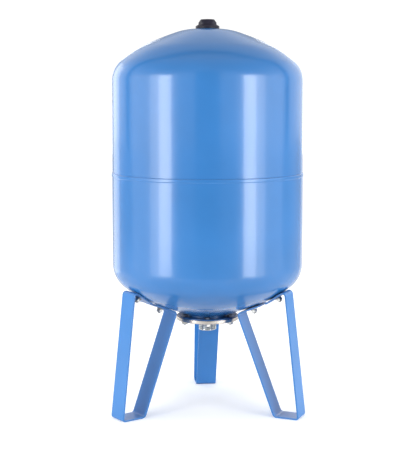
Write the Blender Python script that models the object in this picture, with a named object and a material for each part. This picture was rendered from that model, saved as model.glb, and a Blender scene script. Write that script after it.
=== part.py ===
"""Well pressure tank: a 100 litre upright steel vessel with a replaceable rubber bladder.

Two deep-drawn shells lap at a welded seam. A flanged neck under the vessel takes the
bladder's lip, a pressed counter flange and a pipe nipple, all held by six bolts. Three legs
of folded flat strip are nutted to studs on the lower dome. An air valve sits on top, under
a black cover cap that lifts off. Units are metres, +Z is up and the floor is z = 0.
"""

import math

import bmesh
import bpy
from mathutils import Matrix, Vector

# Driving sizes of the vessel
TANK_RADIUS = 0.225
SHELL_WALL = 0.0015
STAND_HEIGHT = 0.2255
BODY_LENGTH = 0.674
SEAM_HEIGHT = 0.3368
UPPER_STEP = 0.0007
LIP_HEIGHT = 0.0067
LIP_RAMP = 0.0022
LAP_DEPTH = 0.0060

# Pressed dome, from its centre to the wall: a flat, then four arcs that meet in line
CENTRE_FLAT = 0.026
BLEND_RADIUS = 0.150
BLEND_ANGLE = math.radians(19.0)
CROWN_ANGLE = math.radians(24.4)
SHOULDER_RADIUS = 0.207
SHOULDER_ANGLE = math.radians(42.0)
KNUCKLE_RADIUS = 0.0645

# Neck and connection under the vessel
NECK_RADIUS = 0.050
NECK_WALL = 0.004
NECK_INSIDE = 0.014
RING_THICKNESS = 0.005
RING_EDGE = 0.0093
HEAD_SPACE = 0.0033
LIP_WIDTH = 0.004
LIP_THICKNESS = 0.002
PAN_RIM = 0.003
PAN_THICKNESS = 0.003
PAN_RIM_HEIGHT = 0.0085
DISH_WIDTH = 0.01505
DISH_DEPTH = 0.003
DISH_SLOPE = 0.005
NIPPLE_BORE = 0.0165
NIPPLE_WALL = 0.00445
NIPPLE_LENGTH = 0.0262
NIPPLE_CHAMFER = 0.002
FLANGE_BOLTS = 6
BOLT_SPACE = 0.0122
BOLT_SHOW = 0.0018

# Rubber bladder
BLADDER_WALL = 0.003
BLADDER_CLEARANCE = 0.035
BLADDER_BASE = 0.024
BLADDER_LOWER_CAP = 0.150
BLADDER_UPPER_CAP = 0.150
BLADDER_TOP_SPACE = 0.150
BLADDER_CROWN = 0.002

# Legs of flat strip
LEG_WIDTH = 0.050
LEG_THICKNESS = 0.004
TAB_BEND = 0.007
FOOT_OUTER_BEND = 0.005
FOOT_INNER_BEND = 0.010
LEG_AZIMUTHS = {"back": 90.0, "left": 210.0, "right": 330.0}
LEG_TURN = math.radians(6.8)
OUTER_STUD_INSET = 0.0416
INNER_STUD_SPACE = 0.0486
TAB_SPLIT = 0.008
OUTER_BEND = 0.0313
INNER_BEND = 0.0323
FOOT_OUT = 0.0218
FOOT_LENGTH = 0.063

# Screws of 8 mm
SCREW_RADIUS = 0.004
SCREW_PLAY = 0.0005
HEX_ACROSS = 0.013
HEX_CROWN = 0.0062
HEX_BEVEL = 0.0007
HEAD_HEIGHT = 0.0042
NUT_HEIGHT = 0.0065
WASHER_RADIUS = 0.008
WASHER_THICKNESS = 0.0016
STUD_SHOW = 0.003
SCREW_CHAMFER = 0.0006

# Air valve and its cover cap
STEM_RADIUS = 0.004
STEM_WALL = 0.0015
STEM_HEIGHT = 0.0125
STEM_TAIL = 0.007
COLLAR_WIDTH = 0.005
COLLAR_THICKNESS = 0.003
VALVE_PLAY = 0.001
GASKET_THICKNESS = 0.0015
GASKET_WIDTH = 0.0045
VALVE_NUT_ACROSS = 0.014
VALVE_NUT_HEIGHT = 0.0035
CORE_PLAY = 0.0004
CORE_LENGTH = 0.009
PIN_RADIUS = 0.0007
PIN_LENGTH = 0.002
BOSS_ROOM = 0.0024
BOSS_WALL = 0.005
BOSS_HEIGHT = 0.005
COVER_FOOT = 0.0122
COVER_FOOT_HEIGHT = 0.0063
COVER_SHOULDER = 0.0066
COVER_SHOULDER_HEIGHT = 0.0033
COVER_HEX_FOOT = 0.0062
COVER_HEX_TOP = 0.0059
COVER_ROOM = 0.0035
COVER_TOP = 0.006
COVER_CHAMFER = 0.0082

# Clearance between pieces that touch, and how finely round pieces are drawn
GAP = 0.0003
TANK_STEPS = 48
RING_STEPS = 36
CAP_STEPS = 24
BLADDER_STEPS = 18
SMALL_STEPS = 12
BEND_STEPS = 3
HEX_SIDES = 6
SMOOTH_ANGLE = math.radians(28.0)

# The tank stands a little in front of the middle of its footprint, because the back foot
# reaches out behind it while nothing reaches out in front
AXIS_Y = -0.012

# Heights that follow from the sizes above
LOWER_FLAT_Z = STAND_HEIGHT
UPPER_FLAT_Z = STAND_HEIGHT + BODY_LENGTH
SEAM_Z = STAND_HEIGHT + SEAM_HEIGHT
RING_TOP_Z = LOWER_FLAT_Z - HEAD_SPACE
RING_BOTTOM_Z = RING_TOP_Z - RING_THICKNESS
LIP_TOP_Z = RING_BOTTOM_Z - GAP
LIP_BOTTOM_Z = LIP_TOP_Z - LIP_THICKNESS
PAN_TOP_Z = LIP_BOTTOM_Z - GAP
PAN_BOTTOM_Z = PAN_TOP_Z - PAN_THICKNESS

# Radii and lengths that follow
UPPER_RADIUS = TANK_RADIUS - UPPER_STEP
FLANGE_BOLT_CIRCLE = NECK_RADIUS + BOLT_SPACE
RING_RADIUS = FLANGE_BOLT_CIRCLE + RING_EDGE
NIPPLE_RADIUS = NIPPLE_BORE + NIPPLE_WALL
DISH_RADIUS = NIPPLE_RADIUS + DISH_WIDTH
HOLE_RADIUS = SCREW_RADIUS + SCREW_PLAY
OUTER_STUD = TANK_RADIUS - OUTER_STUD_INSET
INNER_STUD = RING_RADIUS + GAP + PAN_RIM + INNER_STUD_SPACE
TAB_OVERHANG = (OUTER_STUD - INNER_STUD - TAB_SPLIT) / 2
LEG_OFFSET = (OUTER_STUD + INNER_STUD) / 2 * math.tan(LEG_TURN)
FOOT_REACH = TANK_RADIUS + FOOT_OUT
VALVE_HOLE = STEM_RADIUS + VALVE_PLAY
BOSS_BORE = VALVE_NUT_ACROSS / 2 / math.cos(math.pi / HEX_SIDES) + BOSS_ROOM
BOSS_RADIUS = BOSS_BORE + BOSS_WALL
COVER_INSIDE = BOSS_RADIUS + GAP
COVER_CAVITY = STEM_HEIGHT + COVER_ROOM


def clear_scene():
    """Remove whatever the open file holds."""
    for obj in list(bpy.data.objects):
        bpy.data.objects.remove(obj, do_unlink=True)
    for mesh in list(bpy.data.meshes):
        bpy.data.meshes.remove(mesh)


def finish(name, colour, roughness, metallic=0.0):
    """A Principled material with one colour, roughness and metallic value."""
    material = bpy.data.materials.new(name)
    material.use_nodes = True
    shader = material.node_tree.nodes["Principled BSDF"]
    shader.inputs["Base Color"].default_value = (*colour, 1.0)
    shader.inputs["Roughness"].default_value = roughness
    shader.inputs["Metallic"].default_value = metallic
    material.diffuse_color = (*colour, 1.0)
    return material


def mesh_from(bm, name):
    """Turn a bmesh into a mesh with outward faces and smooth round sides."""
    bmesh.ops.remove_doubles(bm, verts=bm.verts, dist=1e-7)
    bmesh.ops.recalc_face_normals(bm, faces=bm.faces)
    mesh = bpy.data.meshes.new(name)
    bm.to_mesh(mesh)
    bm.free()
    mesh.shade_smooth()
    mesh.set_sharp_from_angle(angle=SMOOTH_ANGLE)
    return mesh


def add_piece(name, mesh, material, parent, location=(0, 0, 0), rotation=(0, 0, 0)):
    """Place a mesh as a named piece under its parent."""
    obj = bpy.data.objects.new(name, mesh)
    if not mesh.materials:
        mesh.materials.append(material)
    obj.location = location
    obj.rotation_euler = rotation
    obj.parent = parent
    bpy.context.scene.collection.objects.link(obj)
    return obj


def add_empty(name, location, turn=0.0, parent=None):
    """A plain axis that pieces are parented to."""
    empty = bpy.data.objects.new(name, None)
    empty.location = location
    empty.rotation_euler = (0, 0, turn)
    empty.parent = parent
    bpy.context.scene.collection.objects.link(empty)
    return empty


def lofted(name, levels, steps, closed):
    """A round-about mesh through levels of (radius, height), each radius a number or a
    function of the angle. A closed loft joins its last level to its first; an open one is
    capped where it starts and ends."""
    bm = bmesh.new()
    rings = []
    for radius, height in levels:
        ring = []
        for k in range(steps):
            angle = 2 * math.pi * k / steps
            r = radius(angle) if callable(radius) else radius
            ring.append(bm.verts.new((r * math.cos(angle), r * math.sin(angle), height)))
        rings.append(ring)
    pairs = list(zip(rings, rings[1:]))
    if closed:
        pairs.append((rings[-1], rings[0]))
    for low, high in pairs:
        for k in range(steps):
            n = (k + 1) % steps
            bm.faces.new((low[k], low[n], high[n], high[k]))
    if not closed:
        bm.faces.new(rings[0])
        bm.faces.new(rings[-1])
    return mesh_from(bm, name)


def hexagon(across):
    """Radius of a hexagon, given across its flats, as a function of the angle."""
    side = math.pi / HEX_SIDES

    def radius(angle):
        off = angle % (2 * side) - side
        return across / 2 / math.cos(off)

    return radius


def drilled(obj, places, radius, depth):
    """Cut round holes through a piece, along its own Z, with one hidden cutter."""
    bm = bmesh.new()
    for x, y, z, tilt in places:
        spot = Matrix.Translation((x, y, z)) @ Matrix.Rotation(tilt, 4, "Y")
        bmesh.ops.create_cone(
            bm,
            cap_ends=True,
            segments=SMALL_STEPS,
            radius1=radius,
            radius2=radius,
            depth=depth,
            matrix=spot,
        )
    cutter = bpy.data.objects.new(obj.name + "_drill", mesh_from(bm, obj.name + "_drill"))
    cutter.parent = obj.parent
    cutter.location = obj.location
    cutter.rotation_euler = obj.rotation_euler
    cutter.hide_render = True
    cutter.display_type = "WIRE"
    bpy.context.scene.collection.objects.link(cutter)
    cut = obj.modifiers.new("holes", "BOOLEAN")
    cut.operation = "DIFFERENCE"
    cut.solver = "EXACT"
    cut.object = cutter


def dome_arcs(radius, depth):
    """The dome's arcs as (start radius, start height, arc radius, start angle, end angle),
    from the centre out, on a surface that lies depth inside the outer one."""
    knuckle_r = radius - KNUCKLE_RADIUS * (1 - math.sin(SHOULDER_ANGLE))
    shoulder_r = knuckle_r - SHOULDER_RADIUS * (math.sin(SHOULDER_ANGLE) - math.sin(CROWN_ANGLE))
    blend_r = CENTRE_FLAT + BLEND_RADIUS * math.sin(BLEND_ANGLE)
    crown_radius = (shoulder_r - blend_r) / (math.sin(CROWN_ANGLE) - math.sin(BLEND_ANGLE))
    spans = (
        (BLEND_RADIUS, 0.0, BLEND_ANGLE),
        (crown_radius, BLEND_ANGLE, CROWN_ANGLE),
        (SHOULDER_RADIUS, CROWN_ANGLE, SHOULDER_ANGLE),
        (KNUCKLE_RADIUS, SHOULDER_ANGLE, math.pi / 2),
    )
    arcs = []
    r = CENTRE_FLAT
    h = depth
    for arc_radius, start, end in spans:
        bend = arc_radius - depth
        arcs.append((r, h, bend, start, end))
        r += bend * (math.sin(end) - math.sin(start))
        h += bend * (math.cos(start) - math.cos(end))
    return arcs


def arc_point(arc, angle):
    """Radius and height on one of the dome's arcs at a slope angle."""
    r, h, bend, start, _ = arc
    return (
        r + bend * (math.sin(angle) - math.sin(start)),
        h + bend * (math.cos(start) - math.cos(angle)),
    )


def dome_at(distance, radius=TANK_RADIUS):
    """Height above the dome's flat, and slope, at a distance from the axis."""
    arcs = dome_arcs(radius, 0.0)
    for arc in arcs:
        if distance <= arc_point(arc, arc[4])[0]:
            if distance <= arc[0]:
                return arc[1], arc[3]
            sine = (distance - arc[0]) / arc[2] + math.sin(arc[3])
            angle = math.asin(min(1.0, sine))
            return arc_point(arc, angle)[1], angle
    return arc_point(arcs[-1], math.pi / 2)[1], math.pi / 2


def dome_profile(radius, depth, hole):
    """Points (distance, height) along the dome from the edge of its centre hole to the wall."""
    counts = (3, 2, 3, 6)
    arcs = dome_arcs(radius, depth)
    points = []
    if hole < CENTRE_FLAT:
        points.append((hole, depth))
        points.append((CENTRE_FLAT, depth))
    for arc, count in zip(arcs, counts):
        start = arc[3]
        if hole > arc[0]:
            if hole >= arc_point(arc, arc[4])[0]:
                continue
            start = math.asin((hole - arc[0]) / arc[2] + math.sin(arc[3]))
            points.append(arc_point(arc, start))
        for k in range(1, count + 1):
            points.append(arc_point(arc, start + (arc[4] - start) * k / count))
    return points


def upper_shell(parent, material):
    """Upper shell: drawn dome with the valve's hole, and a skirt that enters the lip."""
    outer = dome_profile(UPPER_RADIUS, 0.0, VALVE_HOLE)
    inner = dome_profile(UPPER_RADIUS, SHELL_WALL, VALVE_HOLE)
    skirt_z = SEAM_Z - LAP_DEPTH
    levels = [(r, UPPER_FLAT_Z - h) for r, h in outer]
    levels.append((UPPER_RADIUS, skirt_z))
    levels.append((UPPER_RADIUS - SHELL_WALL, skirt_z))
    levels += [(r, UPPER_FLAT_Z - h) for r, h in reversed(inner)]
    return add_piece("upper_shell", lofted("upper_shell", levels, TANK_STEPS, True), material, parent)


def lower_shell(parent, material):
    """Lower shell: the same pressing with the neck's hole, its rim opened into a lip."""
    hole = NECK_RADIUS + GAP
    outer = dome_profile(TANK_RADIUS, 0.0, hole)
    inner = dome_profile(TANK_RADIUS, SHELL_WALL, hole)
    lip_in = UPPER_RADIUS + GAP
    lip_out = lip_in + SHELL_WALL
    lip_z = SEAM_Z - LIP_HEIGHT
    levels = [(r, LOWER_FLAT_Z + h) for r, h in outer]
    levels.append((TANK_RADIUS, lip_z - LIP_RAMP))
    levels.append((lip_out, lip_z))
    levels.append((lip_out, SEAM_Z))
    levels.append((lip_in, SEAM_Z))
    levels.append((lip_in, lip_z))
    levels.append((TANK_RADIUS - SHELL_WALL, lip_z - LIP_RAMP))
    levels += [(r, LOWER_FLAT_Z + h) for r, h in reversed(inner)]
    return add_piece("lower_shell", lofted("lower_shell", levels, TANK_STEPS, True), material, parent)


def flange_places():
    """Bolt places round the neck, the first one at the front."""
    places = []
    for k in range(FLANGE_BOLTS):
        angle = -math.pi / 2 + 2 * math.pi * k / FLANGE_BOLTS
        places.append((FLANGE_BOLT_CIRCLE * math.cos(angle), FLANGE_BOLT_CIRCLE * math.sin(angle)))
    return places


def neck_flange(parent, material):
    """Welded neck: a short tube through the lower dome with a bolting ring at its foot."""
    bore = NECK_RADIUS - NECK_WALL
    tube_top = LOWER_FLAT_Z + NECK_INSIDE
    levels = [
        (bore, RING_BOTTOM_Z),
        (RING_RADIUS, RING_BOTTOM_Z),
        (RING_RADIUS, RING_TOP_Z),
        (NECK_RADIUS, RING_TOP_Z),
        (NECK_RADIUS, tube_top),
        (bore, tube_top),
    ]
    obj = add_piece("neck_flange", lofted("neck_flange", levels, RING_STEPS, True), material, parent)
    middle = (RING_BOTTOM_Z + RING_TOP_Z) / 2
    drilled(obj, [(x, y, middle, 0.0) for x, y in flange_places()], HOLE_RADIUS, 3 * RING_THICKNESS)
    return obj


def bladder(parent, material):
    """Rubber bladder: a bag on a neck, whose lip is the gasket between the two flanges."""
    neck_out = NECK_RADIUS - NECK_WALL - 2 * GAP
    neck_in = neck_out - BLADDER_WALL
    lip_out = NECK_RADIUS + LIP_WIDTH
    bag_out = TANK_RADIUS - BLADDER_CLEARANCE
    base_z = LOWER_FLAT_Z + BLADDER_BASE
    cap_z = UPPER_FLAT_Z - BLADDER_TOP_SPACE - BLADDER_UPPER_CAP
    turns = 4

    def bag(neck, wall):
        points = []
        for k in range(turns + 1):
            angle = math.pi / 2 * k / turns
            reach = bag_out - wall - neck
            rise = (BLADDER_LOWER_CAP - wall) * (1 - math.cos(angle))
            points.append((neck + reach * math.sin(angle), base_z + wall + rise))
        for k in range(turns + 1):
            angle = math.pi / 2 * k / turns
            reach = (bag_out - wall) * math.cos(angle)
            rise = (BLADDER_UPPER_CAP - wall) * math.sin(angle)
            points.append((max(reach, BLADDER_CROWN), cap_z + rise))
        return points

    outer = [
        (neck_in, LIP_BOTTOM_Z),
        (lip_out, LIP_BOTTOM_Z),
        (lip_out, LIP_TOP_Z),
        (neck_out, LIP_TOP_Z),
    ]
    outer += bag(neck_out, 0.0)
    inner = bag(neck_in, BLADDER_WALL)
    bm = bmesh.new()
    rings = []
    for r, z in outer + list(reversed(inner)):
        ring = []
        for k in range(BLADDER_STEPS):
            angle = 2 * math.pi * k / BLADDER_STEPS
            ring.append(bm.verts.new((r * math.cos(angle), r * math.sin(angle), z)))
        rings.append(ring)
    crown = len(outer) - 1
    for i in range(len(rings)):
        if i == crown:
            continue
        low = rings[i]
        high = rings[(i + 1) % len(rings)]
        for k in range(BLADDER_STEPS):
            n = (k + 1) % BLADDER_STEPS
            bm.faces.new((low[k], low[n], high[n], high[k]))
    bm.faces.new(rings[crown])
    bm.faces.new(rings[crown + 1])
    return add_piece("bladder", mesh_from(bm, "bladder"), material, parent)


def counter_flange(parent, material):
    """Counter flange: a pressed pan with an upturned rim and a dished middle."""
    rim_out = RING_RADIUS + GAP + PAN_RIM
    rim_in = RING_RADIUS + GAP
    rim_top = PAN_BOTTOM_Z + PAN_RIM_HEIGHT
    hole = NIPPLE_RADIUS + GAP
    edge = PAN_RIM / 3
    levels = [
        (hole, PAN_TOP_Z - DISH_DEPTH),
        (hole, PAN_BOTTOM_Z - DISH_DEPTH),
        (DISH_RADIUS, PAN_BOTTOM_Z - DISH_DEPTH),
        (DISH_RADIUS + DISH_SLOPE, PAN_BOTTOM_Z),
        (rim_out - edge, PAN_BOTTOM_Z),
        (rim_out, PAN_BOTTOM_Z + edge),
        (rim_out, rim_top - edge / 2),
        (rim_out - edge / 2, rim_top),
        (rim_in, rim_top),
        (rim_in, PAN_TOP_Z),
        (DISH_RADIUS + DISH_SLOPE, PAN_TOP_Z),
        (DISH_RADIUS, PAN_TOP_Z - DISH_DEPTH),
    ]
    obj = add_piece("counter_flange", lofted("counter_flange", levels, RING_STEPS, True), material, parent)
    middle = (PAN_BOTTOM_Z + PAN_TOP_Z) / 2
    drilled(obj, [(x, y, middle, 0.0) for x, y in flange_places()], HOLE_RADIUS, 2 * PAN_THICKNESS)
    return obj


def nipple(parent, material):
    """Pipe nipple: a tube welded into the dished middle of the counter flange."""
    top = PAN_TOP_Z - DISH_DEPTH
    end = top - NIPPLE_LENGTH
    levels = [
        (NIPPLE_BORE, end),
        (NIPPLE_RADIUS - NIPPLE_CHAMFER, end),
        (NIPPLE_RADIUS, end + NIPPLE_CHAMFER),
        (NIPPLE_RADIUS, top),
        (NIPPLE_BORE, top),
    ]
    return add_piece("nipple", lofted("nipple", levels, RING_STEPS, True), material, parent)


def bolt_mesh():
    """Hexagon bolt, head up, with the underside of its head at its origin."""
    flat = hexagon(HEX_ACROSS)
    grip = RING_TOP_Z - PAN_BOTTOM_Z + 2 * GAP
    length = grip + NUT_HEIGHT + BOLT_SHOW
    levels = [
        (SCREW_RADIUS - SCREW_CHAMFER, -length),
        (SCREW_RADIUS, -length + SCREW_CHAMFER),
        (SCREW_RADIUS, 0.0),
        (flat, 0.0),
        (flat, HEAD_HEIGHT - HEX_BEVEL),
        (HEX_CROWN, HEAD_HEIGHT),
    ]
    return lofted("flange_bolt", levels, SMALL_STEPS, False)


def nut_mesh():
    """Hexagon nut, bevelled at its lower end, with its upper face at its origin."""
    flat = hexagon(HEX_ACROSS)
    bore = SCREW_RADIUS + GAP
    levels = [
        (bore, -NUT_HEIGHT),
        (HEX_CROWN, -NUT_HEIGHT),
        (flat, -NUT_HEIGHT + HEX_BEVEL),
        (flat, 0.0),
        (bore, 0.0),
    ]
    return lofted("nut", levels, SMALL_STEPS, True)


def washer_mesh():
    """Plain washer with its upper face at its origin."""
    bore = SCREW_RADIUS + GAP
    levels = [
        (bore, -WASHER_THICKNESS),
        (WASHER_RADIUS, -WASHER_THICKNESS),
        (WASHER_RADIUS, 0.0),
        (bore, 0.0),
    ]
    return lofted("washer", levels, SMALL_STEPS, True)


def flange_screws(parent, material, nut):
    """Six bolts head up through the two flanges, with their nuts under the pan."""
    bolt = bolt_mesh()
    for number, (x, y) in enumerate(flange_places(), 1):
        add_piece(f"flange_bolt_{number}", bolt, material, parent, (x, y, RING_TOP_Z + GAP))
        add_piece(f"flange_nut_{number}", nut, material, parent, (x, y, PAN_BOTTOM_Z - GAP))


def rounded(corners, bends):
    """The polyline's points with each inner corner turned into an arc of its own radius."""
    points = [corners[0]]
    for before, corner, after, bend in zip(corners, corners[1:], corners[2:], bends):
        a = (before - corner).normalized()
        b = (after - corner).normalized()
        half = a.angle(b) / 2
        start = corner + a * (bend / math.tan(half))
        centre = corner + (a + b).normalized() * (bend / math.sin(half))
        sweep = (start - centre).angle_signed(corner + b * (bend / math.tan(half)) - centre)
        for k in range(BEND_STEPS + 1):
            turn = Matrix.Rotation(-sweep * k / BEND_STEPS, 2)
            points.append(centre + turn @ (start - centre))
    points.append(corners[-1])
    return points


def stud_seats():
    """Each stud's distance from the axis in its leg's plane, with the dome's height and
    slope there, the outer stud first."""
    seats = []
    for distance in (OUTER_STUD, INNER_STUD):
        height, slope = dome_at(distance)
        seats.append((distance, LOWER_FLAT_Z + height, slope))
    return seats


def leg_mesh():
    """One leg, a strip folded in its own plane: tab, outer strap, foot, inner strap, tab.
    In the mesh +X runs outward from the tank's axis and the strip is centred on Y."""
    half = LEG_THICKNESS / 2
    (out_r, out_z, out_slope), (in_r, in_z, in_slope) = stud_seats()
    out_dir = Vector((math.cos(out_slope), math.sin(out_slope)))
    in_dir = Vector((math.cos(in_slope), math.sin(in_slope)))
    away = GAP + half
    out_tab = Vector((out_r, out_z)) + away * Vector((out_dir.y, -out_dir.x))
    in_tab = Vector((in_r, in_z)) + away * Vector((in_dir.y, -in_dir.x))
    corners = [
        out_tab - out_dir * TAB_OVERHANG,
        out_tab + out_dir * OUTER_BEND,
        Vector((FOOT_REACH - half, half)),
        Vector((FOOT_REACH - FOOT_LENGTH + half, half)),
        in_tab - in_dir * INNER_BEND,
        in_tab + in_dir * TAB_OVERHANG,
    ]
    middle = rounded(corners, (TAB_BEND, FOOT_OUTER_BEND, FOOT_INNER_BEND, TAB_BEND))
    sides = ([], [])
    for i, point in enumerate(middle):
        before = middle[max(i - 1, 0)]
        after = middle[min(i + 1, len(middle) - 1)]
        u = (point - before).normalized() if i else (after - point).normalized()
        v = (after - point).normalized() if i < len(middle) - 1 else u
        normal = Vector((-(u + v).y, (u + v).x)).normalized()
        stretch = half / max(0.5, math.cos(u.angle(v) / 2))
        sides[0].append(point + normal * stretch)
        sides[1].append(point - normal * stretch)
    bm = bmesh.new()
    edges = []
    for y in (-LEG_WIDTH / 2, LEG_WIDTH / 2):
        edges.append([[bm.verts.new((p.x, y, p.y)) for p in side] for side in sides])
    near, far = edges
    last = len(middle) - 1
    for i in range(last):
        bm.faces.new((near[0][i], near[0][i + 1], near[1][i + 1], near[1][i]))
        bm.faces.new((far[0][i], far[0][i + 1], far[1][i + 1], far[1][i]))
        for side in (0, 1):
            bm.faces.new((near[side][i], near[side][i + 1], far[side][i + 1], far[side][i]))
    for i in (0, last):
        bm.faces.new((near[0][i], near[1][i], far[1][i], far[0][i]))
    return mesh_from(bm, "leg")


def stud_rise(distance, height, slope):
    """How far a stud runs on above its tab's upper face before it meets the dome."""
    rises = []
    for k in range(SMALL_STEPS):
        angle = 2 * math.pi * k / SMALL_STEPS
        along = SCREW_RADIUS * math.cos(angle)
        across = SCREW_RADIUS * math.sin(angle)
        x = distance + along * math.cos(slope)
        z = height + along * math.sin(slope)
        dome_z = LOWER_FLAT_Z + dome_at(math.hypot(x, across - LEG_OFFSET))[0]
        rises.append((dome_z - z) * math.cos(slope))
    return min(rises) - GAP


def stud_mesh(rise):
    """Weld stud with its origin at the tab's upper face; it hangs down along -Z."""
    length = LEG_THICKNESS + WASHER_THICKNESS + NUT_HEIGHT + STUD_SHOW + 2 * GAP
    levels = [
        (SCREW_RADIUS - SCREW_CHAMFER, -length),
        (SCREW_RADIUS, -length + SCREW_CHAMFER),
        (SCREW_RADIUS, rise),
    ]
    return lofted("leg_stud", levels, SMALL_STEPS, False)


def legs(parent, paint, zinc, nut):
    """Three legs, each nutted to two studs and turned a little about their middle."""
    strip = leg_mesh()
    washer = washer_mesh()
    seats = stud_seats()
    studs = [stud_mesh(GAP + stud_rise(*seat)) for seat in seats]
    for name, azimuth in LEG_AZIMUTHS.items():
        turn = math.radians(azimuth) + LEG_TURN
        frame = add_empty(f"{name}_leg_frame", (0, 0, 0), turn, parent)
        leg = add_piece(f"leg_{name}", strip, paint, frame, (0, -LEG_OFFSET, 0))
        holes = [(r, 0.0, z, -slope) for r, z, slope in seats]
        drilled(leg, holes, HOLE_RADIUS, 4 * LEG_THICKNESS)
        for place, stud, (r, z, slope) in zip(("outer", "inner"), studs, seats):
            down = Vector((math.sin(slope), 0.0, -math.cos(slope)))
            tilt = (0.0, -slope, 0.0)
            face = Vector((r, -LEG_OFFSET, z)) + down * GAP
            under = face + down * (LEG_THICKNESS + GAP)
            below = under + down * (WASHER_THICKNESS + GAP)
            tag = f"{name}_{place}"
            add_piece(f"leg_stud_{tag}", stud, zinc, frame, face, tilt)
            add_piece(f"leg_washer_{tag}", washer, zinc, frame, under, tilt)
            add_piece(f"leg_nut_{tag}", nut, zinc, frame, below, tilt)


def air_valve(parent, brass, steel, rubber):
    """Air valve: stem through the dome, gasket, nut and core, inside a welded boss."""
    base = UPPER_FLAT_Z
    under = base - SHELL_WALL - GAP
    stem_top = base + STEM_HEIGHT
    stem_bore = STEM_RADIUS - STEM_WALL
    collar = STEM_RADIUS + COLLAR_WIDTH
    stem = [
        (stem_bore, under - STEM_TAIL),
        (STEM_RADIUS, under - STEM_TAIL),
        (STEM_RADIUS, under - COLLAR_THICKNESS),
        (collar, under - COLLAR_THICKNESS),
        (collar, under),
        (STEM_RADIUS, under),
        (STEM_RADIUS, stem_top),
        (stem_bore, stem_top),
    ]
    add_piece("valve_stem", lofted("valve_stem", stem, SMALL_STEPS, True), brass, parent)
    bore = STEM_RADIUS + GAP
    gasket_low = base + GAP
    gasket_high = gasket_low + GASKET_THICKNESS
    gasket_out = STEM_RADIUS + GASKET_WIDTH
    gasket = [
        (bore, gasket_low),
        (gasket_out, gasket_low),
        (gasket_out, gasket_high),
        (bore, gasket_high),
    ]
    add_piece("valve_gasket", lofted("valve_gasket", gasket, SMALL_STEPS, True), rubber, parent)
    nut_low = gasket_high + GAP
    nut_high = nut_low + VALVE_NUT_HEIGHT
    flat = hexagon(VALVE_NUT_ACROSS)
    nut = [(bore, nut_low), (flat, nut_low), (flat, nut_high), (bore, nut_high)]
    add_piece("valve_nut", lofted("valve_nut", nut, SMALL_STEPS, True), brass, parent)
    core_top = stem_top - GAP
    core_out = stem_bore - CORE_PLAY
    core = [
        (core_out, core_top - CORE_LENGTH),
        (core_out, core_top - PIN_LENGTH),
        (PIN_RADIUS, core_top - PIN_LENGTH),
        (PIN_RADIUS, core_top),
    ]
    add_piece("valve_core", lofted("valve_core", core, SMALL_STEPS, False), brass, parent)
    boss = [
        (BOSS_BORE, base + GAP),
        (BOSS_RADIUS, base + GAP),
        (BOSS_RADIUS, base + GAP + BOSS_HEIGHT),
        (BOSS_BORE, base + GAP + BOSS_HEIGHT),
    ]
    add_piece("valve_boss", lofted("valve_boss", boss, CAP_STEPS, True), steel, parent)


def cover_cap(parent, plastic):
    """Black cover cap: a round foot, a tapered hexagon body and a hollow that takes the boss.
    Its origin is on the tank's axis at the dome's flat, and it lifts off straight up."""
    across = 2 * math.cos(math.pi / HEX_SIDES)
    shoulder_z = COVER_FOOT_HEIGHT + COVER_SHOULDER_HEIGHT
    top_z = COVER_CAVITY + COVER_TOP
    levels = [
        (COVER_INSIDE, COVER_CAVITY),
        (COVER_INSIDE, GAP),
        (COVER_INSIDE + COVER_FOOT, GAP),
        (COVER_INSIDE + COVER_FOOT, COVER_FOOT_HEIGHT),
        (COVER_INSIDE + COVER_SHOULDER, shoulder_z),
        (hexagon(across * (COVER_INSIDE + COVER_HEX_FOOT)), shoulder_z),
        (hexagon(across * (COVER_INSIDE + COVER_HEX_TOP)), top_z - COVER_CHAMFER),
        (COVER_INSIDE, top_z),
    ]
    mesh = lofted("cover_cap", levels, CAP_STEPS, False)
    return add_piece("cover_cap", mesh, plastic, parent, (0, 0, UPPER_FLAT_Z))


def build():
    """Build every piece of the tank."""
    clear_scene()
    blue_upper = finish("upper_shell_blue", (0.09, 0.30, 0.72), 0.18)
    blue_lower = finish("lower_shell_blue", (0.09, 0.30, 0.72), 0.18)
    blue_neck = finish("neck_blue", (0.07, 0.24, 0.60), 0.25)
    blue_legs = finish("leg_blue", (0.10, 0.33, 0.76), 0.25)
    black_rubber = finish("bladder_rubber", (0.03, 0.03, 0.03), 0.7)
    gasket_rubber = finish("gasket_rubber", (0.03, 0.03, 0.03), 0.6)
    pan_zinc = finish("pan_zinc", (0.72, 0.70, 0.66), 0.28, 1.0)
    nipple_zinc = finish("nipple_zinc", (0.72, 0.71, 0.68), 0.3, 1.0)
    screw_zinc = finish("screw_zinc", (0.66, 0.66, 0.66), 0.35, 1.0)
    leg_zinc = finish("leg_screw_zinc", (0.66, 0.66, 0.66), 0.35, 1.0)
    boss_steel = finish("boss_steel", (0.5, 0.5, 0.52), 0.4, 1.0)
    brass = finish("valve_brass", (0.78, 0.60, 0.28), 0.3, 1.0)
    cover_black = finish("cover_cap_black", (0.03, 0.028, 0.04), 0.45)

    axis = add_empty("tank_axis", (0, AXIS_Y, 0))
    upper_shell(axis, blue_upper)
    lower_shell(axis, blue_lower)
    neck_flange(axis, blue_neck)
    bladder(axis, black_rubber)
    counter_flange(axis, pan_zinc)
    nipple(axis, nipple_zinc)
    flange_screws(axis, screw_zinc, nut_mesh())
    legs(axis, blue_legs, leg_zinc, nut_mesh())
    air_valve(axis, brass, boss_steel, gasket_rubber)
    cover_cap(axis, cover_black)


build()
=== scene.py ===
import math

import bmesh
import bpy
from mathutils import Matrix, Vector


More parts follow.
